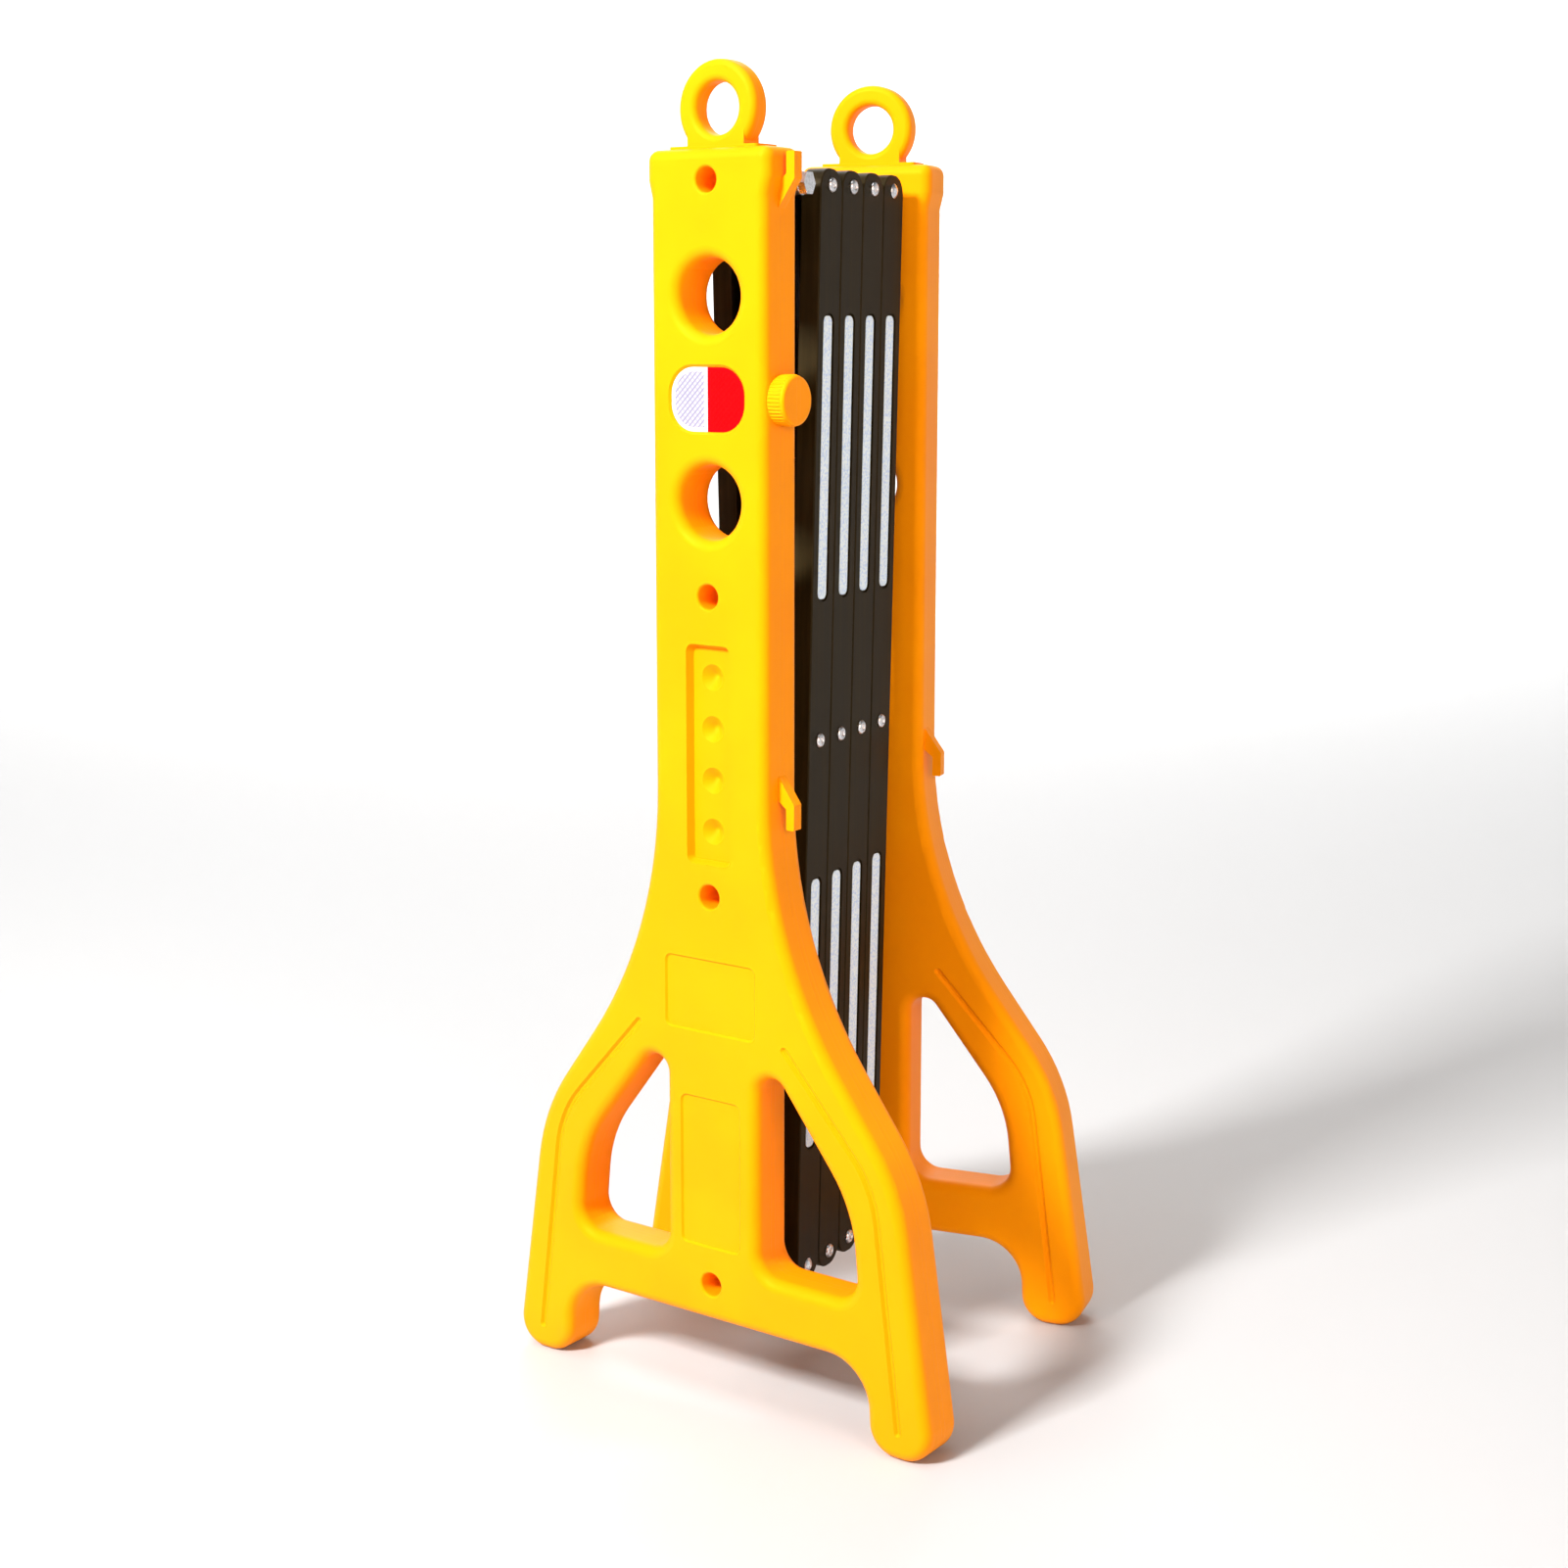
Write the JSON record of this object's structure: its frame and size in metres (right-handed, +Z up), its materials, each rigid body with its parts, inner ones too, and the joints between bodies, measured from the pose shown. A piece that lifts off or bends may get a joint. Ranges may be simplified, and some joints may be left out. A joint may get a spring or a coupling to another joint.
{
  "type": "expandable barrier",
  "caption": "Folded free-standing road barrier: two moulded A-foot end posts joined by a scissor lattice of slats with reflective strips.",
  "frame": {"origin": "on the ground under the middle of the folded barrier", "axes": "+X along the way the barrier pulls out, from the near post to the far post; +Y across it; +Z up"},
  "size_m": [0.325, 0.391, 1],
  "materials": {
    "yellow_plastic": "satin",
    "black_plastic": "satin",
    "steel": "polished",
    "white_reflective": "satin",
    "red_reflective": "satin"
  },
  "bodies": {
    "near_post": {"near_post": "yellow_plastic", "near_eyelet": "yellow_plastic", "near_knob": "yellow_plastic", "near_patch_white": "white_reflective", "near_patch_red": "red_reflective", "near_brackets": "black_plastic", "near_bracket_bolts": "steel", "near_hinge_pins": "steel"},
    "near_guide": {"near_guide_plate": "black_plastic", "near_top_bolt": "steel", "near_top_sleeve": "steel", "near_top_nut": "steel"},
    "far_post": {"far_post": "yellow_plastic", "far_eyelet": "yellow_plastic", "far_knob": "yellow_plastic", "far_patch_white": "white_reflective", "far_patch_red": "red_reflective", "far_brackets": "black_plastic", "far_bracket_bolts": "steel", "far_hinge_pins": "steel"},
    "far_guide": {"far_guide_plate": "black_plastic", "far_top_bolt": "steel", "far_top_sleeve": "steel", "far_top_nut": "steel"},
    "rear_slat_1": {"rear_slat_1": "black_plastic", "rear_strips_1": "white_reflective"},
    "front_slat_1": {"front_slat_1": "black_plastic", "front_strips_1": "white_reflective", "front_rivets_1": "steel", "near_slider_pin": "steel", "near_slider_collar": "steel"},
    "rear_slat_2": {"rear_slat_2": "black_plastic", "rear_strips_2": "white_reflective"},
    "front_slat_2": {"front_slat_2": "black_plastic", "front_strips_2": "white_reflective", "front_rivets_2": "steel"},
    "rear_slat_3": {"rear_slat_3": "black_plastic", "rear_strips_3": "white_reflective"},
    "front_slat_3": {"front_slat_3": "black_plastic", "front_strips_3": "white_reflective", "front_rivets_3": "steel"},
    "rear_slat_4": {"rear_slat_4": "black_plastic", "rear_strips_4": "white_reflective", "far_slider_pin": "steel", "far_slider_collar": "steel"},
    "front_slat_4": {"front_slat_4": "black_plastic", "front_strips_4": "white_reflective", "front_rivets_4": "steel"}
  },
  "joints": [
    {"name": "near_swivel", "type": "hinge", "parent": "near_post", "child": "near_guide", "pos_m": [-0.088, -0.00378, 0.5], "axis": [0, 0, 1], "range_deg": [-15, 1]},
    {"name": "spread", "type": "hinge", "parent": "near_guide", "child": "rear_slat_1", "pos_m": [-0.064, -0.00378, 0.916], "axis": [0, -1, 0], "range_deg": [0, 43.6]},
    {"name": "cross_1", "type": "hinge", "parent": "rear_slat_1", "child": "front_slat_1", "pos_m": [-0.04675, -0.00378, 0.50436], "axis": [0, 1, 0], "range_deg": [0, 87.2]},
    {"name": "top_1", "type": "hinge", "parent": "front_slat_1", "child": "rear_slat_2", "pos_m": [-0.0295, -0.00378, 0.916], "axis": [0, -1, 0], "range_deg": [0, 87.2]},
    {"name": "cross_2", "type": "hinge", "parent": "rear_slat_2", "child": "front_slat_2", "pos_m": [-0.01225, -0.00378, 0.50436], "axis": [0, 1, 0], "range_deg": [0, 87.2]},
    {"name": "top_2", "type": "hinge", "parent": "front_slat_2", "child": "rear_slat_3", "pos_m": [0.005, -0.00378, 0.916], "axis": [0, -1, 0], "range_deg": [0, 87.2]},
    {"name": "cross_3", "type": "hinge", "parent": "rear_slat_3", "child": "front_slat_3", "pos_m": [0.02225, -0.00378, 0.50436], "axis": [0, 1, 0], "range_deg": [0, 87.2]},
    {"name": "top_3", "type": "hinge", "parent": "front_slat_3", "child": "rear_slat_4", "pos_m": [0.0395, -0.00378, 0.916], "axis": [0, -1, 0], "range_deg": [0, 87.2]},
    {"name": "cross_4", "type": "hinge", "parent": "rear_slat_4", "child": "front_slat_4", "pos_m": [0.05675, -0.00378, 0.50436], "axis": [0, 1, 0], "range_deg": [0, 87.2]},
    {"name": "far_pivot", "type": "hinge", "parent": "front_slat_4", "child": "far_guide", "pos_m": [0.074, -0.00378, 0.916], "axis": [0, -1, 0], "range_deg": [0, 43.6]},
    {"name": "far_swivel", "type": "hinge", "parent": "far_guide", "child": "far_post", "pos_m": [0.088, -0.00378, 0.5], "axis": [0, 0, 1], "range_deg": [-15, 1]}
  ],
  "couplings": [
    {"joint": "cross_1", "follows": "spread", "ratio": 2},
    {"joint": "top_1", "follows": "spread", "ratio": 2},
    {"joint": "cross_2", "follows": "spread", "ratio": 2},
    {"joint": "top_2", "follows": "spread", "ratio": 2},
    {"joint": "cross_3", "follows": "spread", "ratio": 2},
    {"joint": "top_3", "follows": "spread", "ratio": 2},
    {"joint": "cross_4", "follows": "spread", "ratio": 2},
    {"joint": "far_pivot", "follows": "spread", "ratio": 1}
  ]
}
